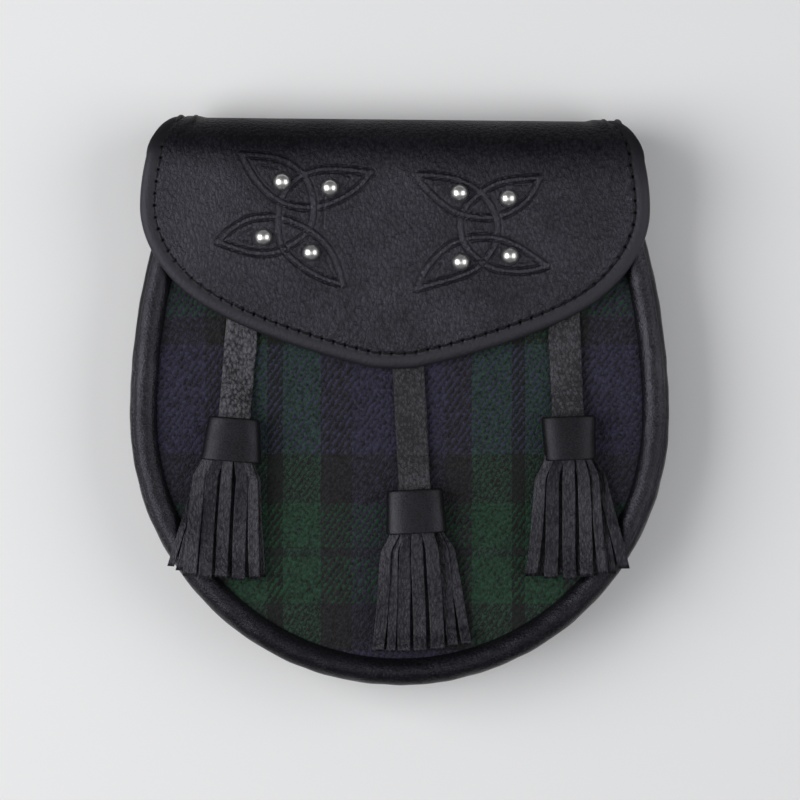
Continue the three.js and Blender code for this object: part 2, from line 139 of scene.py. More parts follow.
# Back and flap: one black grained leather, 2.6 mm thick. It forms the back, folds over the top
# and hangs down the front as the flap. Its rim is rounded, a line of stitches runs inside the
# rim, and two knots are pressed into the flap with a hot tool. The back has two belt slots.
pouch_width = 189.6
pouch_height = 199.6
pouch_depth = 27.0
shoulder_radius = 234.0
clearance = 0.3
leather = 2.6
back_inset = 0.8
fold_reach = 14.6
neck_power = 2.2
flap_half_width = 89.4
flap_drop = 73.6
flap_shift = -1.4
flap_skew = math.radians(-0.6)
skew_rise = 0.6
roll_radius = 4.8
roll_dip = 0.6
front_crown = 1.5
strap_thickness = 1.7
strap_tuck = 16.0

half_width = pouch_width / 2
lobe_y = half_width - pouch_height / 2
fold_start = pouch_height / 2 - fold_reach
tip_y = fold_start - flap_drop
crest = pouch_depth - roll_dip + roll_radius
flap_under = crest + 2 * clearance
fold_height = flap_under + leather
band_width = 2 * roll_radius


def outline_at(y, inset):
    """Half width at a height: a half circle below the widest line, a wider arc above it."""
    up = y - lobe_y
    low = np.sqrt(np.maximum((half_width - inset) ** 2 - up**2, 0))
    high = half_width - shoulder_radius + np.sqrt((shoulder_radius - inset) ** 2 - up**2)
    return np.where(up < 0, low, high)


def depth_inside(x, y):
    """Distance inside the outline: radius minus the distance to the arc's centre."""
    up = y - lobe_y
    low = half_width - np.hypot(x, up)
    high = shoulder_radius - np.hypot(np.abs(x) + shoulder_radius - half_width, up)
    return np.where(up < 0, low, high)


def cloth_height(x, y):
    """The cloth's height: its edge plus the crown times (1 - r squared) squared."""
    share = np.minimum(np.hypot(x, y - lobe_y) / (half_width - band_width), 1)
    return pouch_depth + front_crown * (1 - share**2) ** 2


def smoothstep(low, high, value):
    """0 below low, 1 above high, and 3 t squared minus 2 t cubed between."""
    share = np.clip((value - low) / (high - low), 0, 1)
    return share * share * (3 - 2 * share)


def spread(*parts):
    """Coordinates or other parts, spread to one shape, as the last axis of one array."""
    return np.stack(np.broadcast_arrays(*parts), -1)


def raised(flat, height):
    """Flat points with a height as their third coordinate."""
    return spread(flat[..., 0], flat[..., 1], height)


def unit(vectors):
    """Vectors divided by their lengths."""
    return vectors / np.linalg.norm(vectors, axis=-1, keepdims=True)


def way_along(line):
    """How far along a line each of its points is."""
    return np.r_[0, np.cumsum(np.linalg.norm(np.diff(line, axis=0), axis=1))]


def rows_at(places, along, rows):
    """Rows of values, given at places along a line, read at other places."""
    return spread(*(np.interp(places, along, part) for part in rows.T))


def round_over(distance, width):
    """1 at an edge, falling to 0 at a width inside it as a quarter ellipse."""
    return 1 - np.sqrt(1 - (1 - np.clip(distance / width, 0, 1)) ** 2)


def flap_under_height(y):
    """The flap's underside: it sinks with the square of the way down to the tip."""
    share = np.clip((fold_start - y) / flap_drop, 0, 1)
    tip_height = cloth_height(0, tip_y + strap_tuck) + strap_thickness + 2 * clearance
    return flap_under + (tip_height - flap_under) * share**2


def place_flap(points, level):
    """Shifts and turns points by the share of the way from the back's height to the flap's."""
    share = smoothstep(leather, skew_rise * flap_under, level)
    x, dy = points[..., 0], points[..., 1] - fold_start
    turned_x = flap_shift + x * math.cos(flap_skew) - dy * math.sin(flap_skew)
    turned_y = fold_start + x * math.sin(flap_skew) + dy * math.cos(flap_skew)
    placed = points.copy()
    placed[..., 0] += share * (turned_x - x)
    placed[..., 1] += share * (turned_y - points[..., 1])
    return placed


flap_edge_table = np.array([
    [0.977, 0], [0.992, 0.08], [1, 0.16], [1, 0.235], [1, 0.425], [0.88, 0.63], [0.711, 0.734],
    [0.526, 0.856], [0.274, 0.943], [0.1, 0.992], [0.075, 0.998], [0.05, 1], [0, 1],
])


def flap_edge_line():
    """The flap's right edge, fold to tip: cubic Bezier curves, b0 (1-t)^3 + 3 b1 t (1-t)^2 +
    3 b2 t^2 (1-t) + b3 t^3, on shares of the half width and the drop."""
    t = np.linspace(0, 1, 60)[:, None]
    table = flap_edge_table * [flap_half_width, -flap_drop] + [0, fold_start]
    parts = []
    for i in range(0, len(table) - 1, 3):
        b0, b1, b2, b3 = table[i:i + 4]
        curve = b0 * (1 - t) ** 3 + 3 * b1 * t * (1 - t) ** 2 + 3 * b2 * t * t * (1 - t) + b3 * t**3
        parts.append(curve[1:] if i else curve)
    return np.concatenate(parts)


def resample(line, shares):
    """Points of a line at shares of its length."""
    along = way_along(line)
    return rows_at(shares * along[-1], along, line)


def coons(top, bottom, left, right, u, v):
    """A patch between four curves: the sum of the two ruled surfaces less the bilinear one."""
    v = v[:, None, None]
    w = u[None, :, None]
    ruled = (1 - v) * top[None] + v * bottom[None] + (1 - w) * left[:, None] + w * right[:, None]
    corners = (1 - w) * (1 - v) * top[0] + w * (1 - v) * top[-1]
    corners = corners + (1 - w) * v * bottom[0] + w * v * bottom[-1]
    return ruled - corners


def spaced(stretches):
    """Shares from 0 to 1 along stretches of (length, step) in millimetres."""
    counts = [max(round(length / step), 1) for length, step in stretches]
    steps = [length / count for (length, _), count in zip(stretches, counts)]
    line = np.r_[0, np.cumsum(np.repeat(steps, counts))]
    return line / line[-1]


def line_distance(points, line):
    """Distance from each point to a line: the least distance to any of its segments."""
    a, b = line[:-1], line[1:]
    d = b - a
    flat = points.reshape(-1, 2)
    nearest = np.full(len(flat), 1e9)
    for part in np.array_split(np.arange(len(flat)), max(len(flat) * len(a) // 4000000, 1)):
        p = flat[part][:, None, :] - a[None]
        t = np.clip((p * d).sum(-1) / (d * d).sum(-1), 0, 1)
        nearest[part] = np.sqrt(((p - t[..., None] * d) ** 2).sum(-1)).min(1)
    return nearest.reshape(points.shape[:-1])


# Each knot is one band that runs through four pointed leaves, between two grooves. Its four
# strands run from leaf to leaf, as x and y of points on a drawing with the scale below, and
# short single grooves are pressed inside the leaves.
knot_scale = 0.35185 / 7.368
knots = {
    "left": ((-70.19, 95.58), [
        [312, 188, 430, 196, 550, 210, 655, 245, 735, 300, 795, 375, 832, 470, 846, 570, 840, 660,
         810, 740, 750, 800, 680, 850, 600, 893, 500, 915, 390, 908, 260, 872, 140, 828],
        [140, 828, 250, 728, 370, 664, 500, 644, 590, 650, 690, 682, 800, 735, 905, 815, 985, 920,
         1030, 1030, 1058, 1140],
        [1058, 1140, 960, 1115, 860, 1072, 760, 1010, 680, 945, 620, 870, 592, 790, 585, 700, 590,
         600, 610, 520, 650, 440, 710, 375, 790, 328, 880, 303, 990, 295, 1130, 305, 1262, 322],
        [1262, 322, 1180, 420, 1080, 490, 970, 545, 860, 572, 750, 575, 640, 550, 540, 497, 450,
         410, 380, 310, 312, 188],
    ], [
        [530, 430, 470, 360, 425, 278, 500, 272, 590, 296],
        [1010, 322, 1115, 362, 1040, 470],
        [400, 722, 290, 800, 400, 842],
        [925, 925, 955, 1020, 850, 1000],
        [925, 500, 918, 620, 914, 735],
    ]),
    "right": ((-0.7, 84.57), [
        [135, 108, 270, 112, 400, 130, 500, 165, 590, 218, 660, 285, 710, 370, 738, 450, 740, 530,
         725, 610, 685, 680, 630, 750, 550, 812, 430, 862, 290, 900, 150, 940],
        [150, 940, 215, 800, 300, 695, 385, 625, 470, 585, 560, 568, 680, 565, 800, 590, 920, 650,
         1020, 715, 1100, 775],
        [1100, 775, 980, 808, 850, 815, 720, 796, 620, 742, 535, 665, 485, 580, 468, 490, 475,
         410, 510, 340, 570, 275, 650, 215, 740, 168, 850, 145, 950, 135, 1050, 128],
        [1050, 128, 1000, 230, 920, 320, 820, 385, 720, 415, 620, 420, 500, 403, 400, 363, 300,
         288, 210, 200, 135, 108],
    ], [
        [370, 300, 310, 250, 262, 186, 390, 165],
        [860, 185, 962, 190, 880, 300],
        [330, 760, 282, 868, 410, 852],
        [890, 655, 990, 728, 880, 765],
    ]),
}
knot_band = 2.3
groove_width = 1.1
tip_reach = 9
crossing_reach = 3.4
# Strands below and above at each crossing, and which of their meetings it is.
crossings = ((0, 2, 0), (3, 0, 0), (0, 1, 0), (1, 2, 0), (2, 3, 0), (2, 0, -1))


def smooth_line(points, steps=10):
    """A Catmull-Rom curve through points: half of 2 p1 + (p2 - p0) t + (2 p0 - 5 p1 + 4 p2 - p3)
    t^2 + (3 p1 - p0 - 3 p2 + p3) t^3 between each two."""
    p = np.reshape(points, (-1, 2)).astype(float)
    p = np.r_[2 * p[:1] - p[1:2], p, 2 * p[-1:] - p[-2:-1]]
    t = np.linspace(0, 1, steps, endpoint=False)[None, :, None]
    p0, p1, p2, p3 = (p[i:len(p) - 3 + i][:, None, :] for i in range(4))
    curve = 2 * p1 + (p2 - p0) * t + (2 * p0 - 5 * p1 + 4 * p2 - p3) * t**2
    curve = (curve + (3 * p1 - p0 - 3 * p2 + p3) * t**3) / 2
    return np.r_[curve.reshape(-1, 2), p[-2:-1]]


def groove(distance, width):
    """1 on a groove's middle, falling to 0 at half its width as a raised cosine."""
    return 0.5 + 0.5 * np.cos(np.pi * np.clip(2 * distance / width, 0, 1))


def knot_relief(xy):
    """How deep the tool has pressed, 0 to 1: the two grooves of each strand, less where
    another strand lies over it and where two strands meet at a leaf's tip. Then where the
    bands between the grooves are, which stand up and are burnished."""
    deepest, bands = np.zeros((2, *xy.shape[:-1]))
    for corner, strands, marks in knots.values():
        def drawn(points):
            return np.array(corner) + smooth_line(points) * [knot_scale, -knot_scale]

        lines = [drawn(strand) for strand in strands]
        near = [line_distance(xy, line) for line in lines]
        bands = np.maximum(bands, smoothstep(0.5 * knot_band, 0.15 * knot_band, np.min(near, 0)))
        grooves = [groove(np.abs(distance - knot_band / 2), groove_width) for distance in near]
        for below, above, order in crossings:
            gap = np.linalg.norm(lines[below][8:-8, None] - lines[above][None, 8:-8], axis=-1)
            crossing = lines[below][8 + np.argwhere(gap < 0.45)[order][0]]
            close = np.linalg.norm(xy - crossing, axis=-1) < crossing_reach
            grooves[below] = np.where(close & (near[above] < knot_band / 2), 0, grooves[below])
        for i in range(4):
            close = np.linalg.norm(xy - lines[i][0], axis=-1) < tip_reach
            for strand, other in ((i, i - 1), (i - 1, i)):
                covered = close & (near[other] < knot_band / 2)
                grooves[strand] = np.where(covered, 0, grooves[strand])
        deepest = np.maximum(deepest, np.max(grooves, 0))
        for mark in marks:
            short = groove(line_distance(xy, drawn(mark)), groove_width)
            deepest = np.maximum(deepest, 0.55 * short)
    return deepest, bands


stitch_inset = 5.2
stitch_pitch = 4.2
rim_depth = 1.6
rim_width = 2.7
back_rim_depth = 1.2
back_rim_width = 1.6
fold_swell = 0.6
press_depth = 0.34
band_rise = 0.12
hole_depth = 0.5


def rim_drop(distance):
    """How far the face sinks near the rim: a quarter ellipse at the edge, a low swell inside
    it, and the groove that the stitches lie in."""
    swell = 0.3 * groove(distance - 2.9, 4.2)
    sunk = 0.5 * groove(distance - stitch_inset, 1.4)
    return rim_depth * round_over(distance, rim_width) - swell + sunk


def fold_half(angles):
    """Half width at angles round the fold: from the back's to the flap's, by (1 - cosine) / 2
    to the neck power."""
    neck = float(outline_at(fold_start, back_inset))
    edge = flap_edge_line()[0, 0]
    return neck + (edge - neck) * ((1 - np.cos(angles)) / 2) ** neck_power


def fold_ellipse(angles):
    """Points and outward normals of the fold's half ellipse, from the back to the front."""
    rise = fold_height / 2
    sine, cosine = np.sin(angles), np.cos(angles)
    points = spread(0.0, fold_start + fold_reach * sine, rise - rise * cosine)
    return points, unit(spread(0.0, sine / fold_reach, -cosine / rise))


def stitch_line():
    """Points and outward normals along the groove, from the left of the fold round the tip.
    Over the fold the line stands out with its swell."""
    edge = resample(flap_edge_line(), np.linspace(0, 1, 900))
    along = unit(np.gradient(edge, axis=0))
    inside = edge + stitch_inset * spread(along[:, 1], -along[:, 0])
    inside = inside[inside[:, 0] > 0]
    flat = raised(inside, flap_under_height(inside[:, 1]) + leather)
    angles = np.linspace(0.25 * np.pi, np.pi, 120)[:-1]
    over, normals = fold_ellipse(angles)
    over = over + fold_swell * np.sin(angles)[:, None] * normals
    over[:, 0] = fold_half(angles) - stitch_inset
    right = np.r_[over, flat]
    normals = np.r_[normals, np.tile([0.0, 0.0, 1.0], (len(flat), 1))]
    line = np.r_[right * [-1, 1, 1], right[::-1]]
    return place_flap(line, line[:, 2]), np.r_[normals, normals[::-1]]


fold_angles = np.pi * np.r_[np.linspace(0, 0.9, 24), np.linspace(0.905, 1, 14)][:-1]


def back_and_flap_grids():
    """Outer and inner points of the leather, rows from the bottom of the back over the fold to
    the flap's tip, their distances from the rim, and the number of rows on the back."""
    u = spaced([(8.5, 0.5), (14, 0.9), (58, 0.4), (17, 0.8), (48, 0.4), (20.6, 0.9), (8.5, 0.5)])
    u = np.interp(np.linspace(0, 1, 3 * (len(u) // 3) + 1), np.linspace(0, 1, len(u)), u)
    across = 2 * u - 1
    flap_v = spaced([(47, 0.4), (10.5, 0.8), (8.5, 0.5)])
    edge = flap_edge_line()
    slope = np.gradient(edge[:, 1]) / np.minimum(np.gradient(edge[:, 0]), -1e-9)
    turn = np.argmax((slope < 1) & (edge[:, 1] < fold_start - 20))
    top = spread(across * edge[0, 0], fold_start)
    side = resample(edge[:turn + 1], flap_v)
    under = np.r_[edge[turn:] * [-1, 1], edge[:turn - 1:-1][1:]]
    flap = coons(top, resample(under, u), side * [-1, 1], side, u, flap_v)
    flap_rim = line_distance(flap, np.r_[edge * [-1, 1], edge[::-1][1:]][::2])
    level = flap_under_height(flap[..., 1])
    half = fold_half(fold_angles)[:, None]
    x = across * half
    rise = fold_height / 2

    def fold(inset):
        y = fold_start + (fold_reach - inset) * np.sin(fold_angles)
        z = rise - (rise - inset) * np.cos(fold_angles)
        return spread(x, y[:, None], z[:, None])

    # The back, a patch within its outline.
    back_v = spaced([(140, 9), (12, 3), (3, 0.5)])
    radius = half_width - back_inset
    y = fold_start + (lobe_y - fold_start) * np.linspace(0, 1, 80)
    bend = np.linspace(0, np.pi / 4, 60)[1:]
    round_side = spread(radius * np.cos(bend), lobe_y - radius * np.sin(bend))
    side = resample(np.r_[spread(outline_at(y, back_inset), y), round_side], back_v)
    sweep = np.linspace(1.25 * np.pi, 1.75 * np.pi, 200)
    under = spread(radius * np.cos(sweep), lobe_y + radius * np.sin(sweep))
    top = spread(across * half[0], fold_start)
    back = coons(top, resample(under, u), side * [-1, 1], side, u, back_v)[:0:-1]
    back_rim = depth_inside(back[..., 0], back[..., 1]) - back_inset
    outer = np.r_[raised(back, 0.0), fold(0), raised(flap, level + leather)]
    inner = np.r_[raised(back, leather), fold(leather), raised(flap, level)]
    rim = np.r_[back_rim, half - np.abs(x), flap_rim]
    drop = (len(outer) - 1) % 3
    return outer[drop:], inner[drop:], rim[drop:], len(back) - drop


def shell(outer, inner, stride=1):
    """Points and faces of a closed sheet of two grids, the inner with every stride-th row and
    column. The rim's faces join stride outer edges to one inner edge."""
    o = np.arange(outer[..., 0].size).reshape(outer.shape[:2])
    i = np.arange(inner[..., 0].size).reshape(inner.shape[:2]) + o.size
    face = spread(o[:-1, :-1], o[:-1, 1:], o[1:, 1:], o[1:, :-1]).reshape(-1, 4)
    lining = spread(i[:-1, :-1], i[1:, :-1], i[1:, 1:], i[:-1, 1:]).reshape(-1, 4)
    ring_o, ring_i = (np.r_[g[0, :-1], g[:-1, -1], g[-1, :0:-1], g[:0:-1, 0]] for g in (o, i))
    j = np.arange(len(ring_i))
    spans = (j[:, None] * stride + np.arange(stride, -1, -1)) % len(ring_o)
    rim = np.column_stack([ring_o[spans], ring_i[j], ring_i[(j + 1) % len(ring_i)]])
    return np.r_[outer.reshape(-1, 3), inner.reshape(-1, 3)], [face, lining, rim]


def point_mask(made, name, values):
    """Stores a value per point as an attribute that the material reads: 0 on points left."""
    padded = np.zeros(len(made.data.vertices), np.float32)
    padded[:values.size] = values.ravel()
    made.data.attributes.new(name, "FLOAT", "POINT").data.foreach_set("value", padded)


def calc(tree, operation, *values):
    """The output of a node that calculates, such as a * b + c for MULTIPLY_ADD."""
    return add(tree, "Math", dict(enumerate(values)), operation=operation)[0]


def mix(tree, share, first, second):
    """The number at a share of the way between two."""
    return add(tree, "Mix", {0: share, 2: first, 3: second})[0]


def mix_colour(tree, share, first, second):
    """The colour at a share of the way between two."""
    return add(tree, "Mix", {0: share, 6: first, 7: second}, data_type="RGBA")[2]


def remap(tree, value, low, high, to_low=0.0, to_high=1.0, **settings):
    """A value carried from one range to another, and held within it."""
    ends = {"From Min": low, "From Max": high, "To Min": to_low, "To Max": to_high}
    return add(tree, "MapRange", {"Value": value, **ends}, **settings)[0]


def noise(tree, where, scale, detail):
    """The outputs of a noise: its value and its colour."""
    return add(tree, "TexNoise", {"Vector": where, "Scale": scale, "Detail": detail})


def moved_about(tree, where, source, reach):
    """A place moved about by a noise's colour times a reach in metres."""
    offset = add(tree, "VectorMath", {0: source["Color"], 3: reach}, operation="SCALE")[0]
    return add(tree, "VectorMath", {0: where, 1: offset}, operation="ADD")[0]


def leather_grain():
    """Node group: pebbled grain. Height is rounded cells with fine pores between, and Patch is
    slow change over the hide. Cells is cells per metre and Stretch lengthens them along Y."""
    tree = bpy.data.node_groups.new("leather_grain", "ShaderNodeTree")
    for name, way in (("Vector", "INPUT"), ("Cells", "INPUT"), ("Stretch", "INPUT"),
                      ("Height", "OUTPUT"), ("Patch", "OUTPUT")):
        kind = "NodeSocketVector" if name == "Vector" else "NodeSocketFloat"
        tree.interface.new_socket(name, in_out=way, socket_type=kind)
    given = add(tree, "NodeGroupInput")
    scales = add(tree, "CombineXYZ", {0: 1.0, 1: calc(tree, "DIVIDE", 1.0, given["Stretch"]), 2: 1.0})
    at = add(tree, "VectorMath", {0: given["Vector"], 1: scales[0]}, operation="MULTIPLY")[0]
    bent = moved_about(tree, at, noise(tree, at, 420.0, 2.0), 0.0011)
    cells = add(tree, "TexVoronoi", {"Vector": bent, "Scale": given["Cells"], "Smoothness": 0.35},
                feature="SMOOTH_F1")["Distance"]
    fine = noise(tree, bent, calc(tree, "MULTIPLY", given["Cells"], 2.7), 3.0)[0]
    height = calc(tree, "MULTIPLY_ADD", fine, 1.1, calc(tree, "SUBTRACT", 1.0, cells))
    patch = remap(tree, noise(tree, given["Vector"], 42.0, 3.0)[0], 0.36, 0.66)
    add(tree, "NodeGroupOutput", {"Height": height, "Patch": patch})
    return tree


grain_group = leather_grain()
# Painted sheen: the rim's grey, far lighter than the grain, stands in for its highlight.
painted_rim_sheen = (0.034, 0.0325, 0.038, 1)
# Painted shade: near black in the stitch holes and along the stitch groove.
hole_shade_colour = (0.0005, 0.0005, 0.0006, 1)


def leather_finish(name, dark, light, rough, shine, cells, stretch, depth, cool, pressed=False):
    """Black leather: dark in the pores and light on the grain, which stands up by depth. Gloss
    changes slowly with the hide, and a mask dulls it. The flap's masks also make it smoother
    where the tool has pressed it, with painted shade darkening its grooves; burnished at the rim,
    whose lighter grey is a painted sheen; and near black in the holes and the stitch groove, as
    painted shade."""
    made, tree = material(name)
    where = add(tree, "TexCoord")["Object"]
    grain = {"Vector": where, "Cells": cells, "Stretch": stretch}
    height, patch = add(tree, "Group", grain, node_tree=grain_group)
    worn = remap(tree, calc(tree, "MULTIPLY_ADD", patch, 0.35, height), 0.95, 1.65)
    colour = mix_colour(tree, worn, (*dark, 1), (*light, 1))
    gloss = remap(tree, patch, 0.0, 1.0, rough + 0.05, rough - 0.05)
    gleam = remap(tree, worn, 0.0, 1.0, 0.8 * shine, 1.2 * shine)
    masks = [add(tree, "Attribute", attribute_name=part)["Fac"]
             for part in ("dull", "pressed", "burnished", "smooth_rim_and_sheen", "hole_and_shade")[:5 if pressed else 1]]
    if pressed:
        deep, burnished, rim, hole_and_shade = masks[1:]
        # Painted sheen: the rim takes the lighter grey.
        colour = mix_colour(tree, rim, colour, painted_rim_sheen)
        # Painted shade: the tooled grooves darken towards the pores' colour.
        colour = mix_colour(tree, calc(tree, "MULTIPLY", deep, 0.3), colour, (*dark, 1))
        # Painted shade: the holes and the stitch groove go near black.
        colour = mix_colour(tree, hole_and_shade, colour, hole_shade_colour)
        gleam = mix(tree, burnished, gleam, 1.35 * shine)
        gleam = mix(tree, rim, gleam, 3.6 * shine)
        gleam = mix(tree, hole_and_shade, gleam, 0.0)
        gloss = mix(tree, rim, gloss, 0.56)
        strength = remap(tree, calc(tree, "MAXIMUM", deep, rim), 0.0, 1.0, 1.0, 0.3)
        height = calc(tree, "MULTIPLY", height, strength)
    gleam = mix(tree, masks[0], gleam, 0.13 * shine)
    bump = add(tree, "Bump", {"Strength": 0.9, "Distance": depth, "Height": height})[0]
    finish_material(tree, Base_Color=colour, Roughness=gloss, Normal=bump, Specular_IOR_Level=gleam,
                    Specular_Tint=(1 - cool, 1 - 1.15 * cool, 1.0, 1.0))
    return made


outer, inner, rim, back_rows = back_and_flap_grids()
row = np.arange(len(outer))[:, None] + np.zeros_like(rim)
flap_row = back_rows + len(fold_angles)
front_row = flap_row - 14
normal = np.zeros_like(outer)
normal[:back_rows, :, 2] = -1
normal[back_rows:flap_row] = fold_ellipse(fold_angles)[1][:, None]
normal[flap_row:, :, 2] = 1
placed = place_flap(outer, outer[..., 2])
lining = place_flap(inner, inner[..., 2])[::3, ::3]
pressed, bands = np.zeros((2, *rim.shape))
pressed[front_row:], bands[front_row:] = knot_relief(placed[front_row:, :, :2])
on_fold = np.clip(normal[..., 1], 0, 1) * smoothstep(12, 8.5, rim)
stitch_path, stitch_normals = stitch_line()
stitch_along = way_along(stitch_path)
stitch_count = round(stitch_along[-1] / stitch_pitch)


def stitch_places(shift, values):
    """Values along the stitch line at each stitch's middle, moved by a shift in millimetres."""
    at = (np.arange(stitch_count) + 0.5) * stitch_along[-1] / stitch_count + shift
    return rows_at(at, stitch_along, values)


# The holes between the stitches. Height counts half on the flap, where the groove is steep.
near_holes = (row >= back_rows) & (np.abs(rim - stitch_inset) < 1.5)
apart = placed[near_holes][:, None] - stitch_places(stitch_pitch / 2, stitch_path)
apart[..., 2] *= np.where(row < flap_row, 1.0, 0.5)[near_holes][:, None]
hole_and_shade = np.zeros_like(rim)
hole_and_shade[near_holes] = smoothstep(0.9, 0.4, np.linalg.norm(apart, axis=-1).min(1))
rim_sink = rim_drop(rim)
rim_sink[:back_rows] = back_rim_depth * round_over(rim[:back_rows], back_rim_width)
stitch_groove_shade = groove(rim - stitch_inset, 1.5) * (row >= back_rows)
rise = fold_swell * on_fold - rim_sink - press_depth * pressed + band_rise * bands - hole_depth * hole_and_shade
placed += normal * rise[..., None]
lining[[0, -1]] *= [0.997, 0.997, 1]
lining[:, [0, -1]] *= [0.997, 1, 1]
flap_finish = leather_finish("flap_leather", (0.0038, 0.0036, 0.0049), (0.0125, 0.0119, 0.015),
                             0.34, 0.38, 880.0, 1.35, 0.00036, 0.14, pressed=True)
flap = mesh_object("back_and_flap_leather", *shell(placed, lining, 3), flap_finish)
# Hands have polished the flap's left, and the fold dulls from lower down towards the right.
hand_worn = 0.9 * np.exp(-(((placed[..., 0] + 71) / 18) ** 2) - ((placed[..., 1] - 60) / 30) ** 2)
fade_start = -6 - 0.05 * np.clip(outer[..., 0] + 90, 0, 180)
up_fold = smoothstep(fade_start, 7, outer[..., 1] - fold_start) * (outer[..., 2] > leather)
point_mask(flap, "pressed", pressed)
point_mask(flap, "burnished", np.maximum(bands, hand_worn * (row >= front_row)))
# Painted shade: full in the holes, 0.65 along the stitch groove.
point_mask(flap, "hole_and_shade", np.maximum(hole_and_shade, 0.65 * stitch_groove_shade))
# Where the rim is smoothed and takes its painted sheen.
point_mask(flap, "smooth_rim_and_sheen", smoothstep(6, 4.6, rim))
point_mask(flap, "dull", up_fold)

slot_width = 6.0
slot_length = 28.0
slot_spacing = 76.0
slot_height = 48.0


def tube_faces(rings, count):
    """Faces of a tube of rings, with a face across each end."""
    i = np.arange(count)
    j = np.arange(rings - 1)[:, None] * count
    k = (i + 1) % count
    walls = spread(j + i, j + k, j + count + k, j + count + i).reshape(-1, 4)
    return [walls, np.stack([i[::-1], i + (rings - 1) * count])]


def copies(faces, count, size):
    """The faces of a count of equal meshes, each with size points."""
    shift = np.arange(count)[:, None, None] * size
    return [(part + shift).reshape(-1, part.shape[1]) for part in faces]


def slot_cutter():
    """Two upright bars with round ends, to cut the belt slots: half circles joined by lines."""
    angle = np.linspace(0, 2 * np.pi, 48, endpoint=False)
    end = np.sign(np.sin(angle) + 1e-9) * (slot_length - slot_width) / 2
    x, y = slot_width / 2 * np.cos(angle), slot_width / 2 * np.sin(angle) + end
    rings = np.stack([spread(x, y + slot_height, z) for z in (-4.0, 7.0)])
    both = np.stack([rings + [side * slot_spacing / 2, 0, 0] for side in (-1, 1)])
    return mesh_object("slot_cutter", both, copies(tube_faces(2, 48), 2, 96), flap_finish)


cutter = slot_cutter()
cut = flap.modifiers.new("belt_slots", "BOOLEAN")
cut.operation = "DIFFERENCE"
cut.solver = "FAST"
cut.object = cutter
graph = bpy.context.evaluated_depsgraph_get()
flap.data = bpy.data.meshes.new_from_object(flap.evaluated_get(graph))
flap.modifiers.clear()
bpy.data.objects.remove(cutter)
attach(flap, "root")
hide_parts("back_and_flap")

# Stitches: waxed black thread that lies in the groove inside the flap's rim, runs over the
# fold and down the edge of the flap, and dips into a hole at each end. Two thick stitches hold
# each end of the fold.
thread_radius = 0.36
half_stitch = 1.5
corner_radius = 0.8
corner_places = (-75.7, -70.4, 73.1, 78.0)


def stitches():
    """Each stitch is a capsule: rings of radius r sqrt(1 - 0.8 s^8) along s from -1 to 1, whose
    middle line sinks by the fourth power of s at the ends."""
    middle, up = stitch_places(0, stitch_path), stitch_places(0, stitch_normals)
    ahead = unit(stitch_places(0.5, stitch_path) - middle)
    across = np.cross(up, ahead)
    middle, up, ahead, across = (part[:, None, None] for part in (middle, up, ahead, across))
    s = np.linspace(-1, 1, 7)[:, None, None]
    angle = np.linspace(0, 2 * np.pi, 8, endpoint=False)[:, None]
    radius = thread_radius * np.sqrt(1 - 0.8 * s**8)
    sink = -0.5 - 0.5 * s**4
    points = middle + half_stitch * s * ahead + (sink + radius * np.sin(angle)) * up
    points = points + radius * np.cos(angle) * across
    return points, copies(tube_faces(7, 8), stitch_count, 56)


def thread_finish():
    """Waxed thread: fine twist from a wave texture across a dark colour."""
    made, tree = material("black_thread")
    twist = {"Vector": add(tree, "TexCoord")["Object"], "Scale": 900.0, "Distortion": 1.5}
    twist = add(tree, "TexWave", twist, bands_direction="DIAGONAL")["Fac"]
    colour = mix_colour(tree, twist, (0.002, 0.002, 0.0025, 1), (0.012, 0.012, 0.0135, 1))
    bump = add(tree, "Bump", {"Strength": 0.5, "Distance": 0.0001, "Height": twist})[0]
    finish_material(tree, Base_Color=colour, Roughness=0.55, Normal=bump, Specular_IOR_Level=0.15)
    return made


def corner_stitches():
    """Two thick stitches over the fold at each top corner. Each is a tube along the fold's
    ellipse, from 50 to 125 degrees, that leans outward to the front and tapers at its ends."""
    share = np.linspace(-1, 1, 21)
    around = np.linspace(0, 2 * np.pi, 10, endpoint=False)
    radius = corner_radius * np.sqrt(1 - 0.9 * share**6)[:, None]
    middle, out = fold_ellipse(np.radians(87.5 + 37.5 * share))
    tube = middle[:, None] + (0.15 + radius * np.sin(around))[..., None] * out[:, None]
    tubes = []
    for x in corner_places:
        tube[..., 0] = (x + math.copysign(1.4, x) * share)[:, None] + radius * np.cos(around)
        tubes.append(place_flap(tube, tube[..., 2]))
    return np.stack(tubes), copies(tube_faces(21, 10), len(tubes), 210)


thread = thread_finish()
for name, built in (("flap_stitching", stitches()), ("corner_stitches", corner_stitches())):
    stitching = mesh_object(name, *built, thread)
    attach(stitching, "root")

# Studs: eight nickel-plated domed rivets, set through the flap on the leaves of the knots.
stud_radius = 3.1
stud_height = 3.0
stud_table = np.array([
    [-0.443, 0.118], [-0.255, 0.144], [-0.514, 0.382], [-0.326, 0.452],
    [0.252, 0.162], [0.444, 0.185], [0.26, 0.49], [0.453, 0.458],
])


def turned(profile, segments):
    """A profile of radius and height carried round Z: x = r cos a, y = r sin a. The first and
    last points are on the axis."""
    angle = np.linspace(0, 2 * np.pi, segments, endpoint=False)
    radius, height = profile[1:-1, 0, None], profile[1:-1, 1, None]
    ring = spread(radius * np.cos(angle), radius * np.sin(angle), height).reshape(-1, 3)
    points = np.r_[ring, [[0, 0, profile[0, 1]], [0, 0, profile[-1, 1]]]]
    i = np.arange(segments)
    k = (i + 1) % segments
    top = len(ring) - segments
    caps = np.r_[spread(k, i, len(ring)), spread(top + i, top + k, len(ring) + 1)]
    return points, [tube_faces(len(radius), segments)[0], caps]


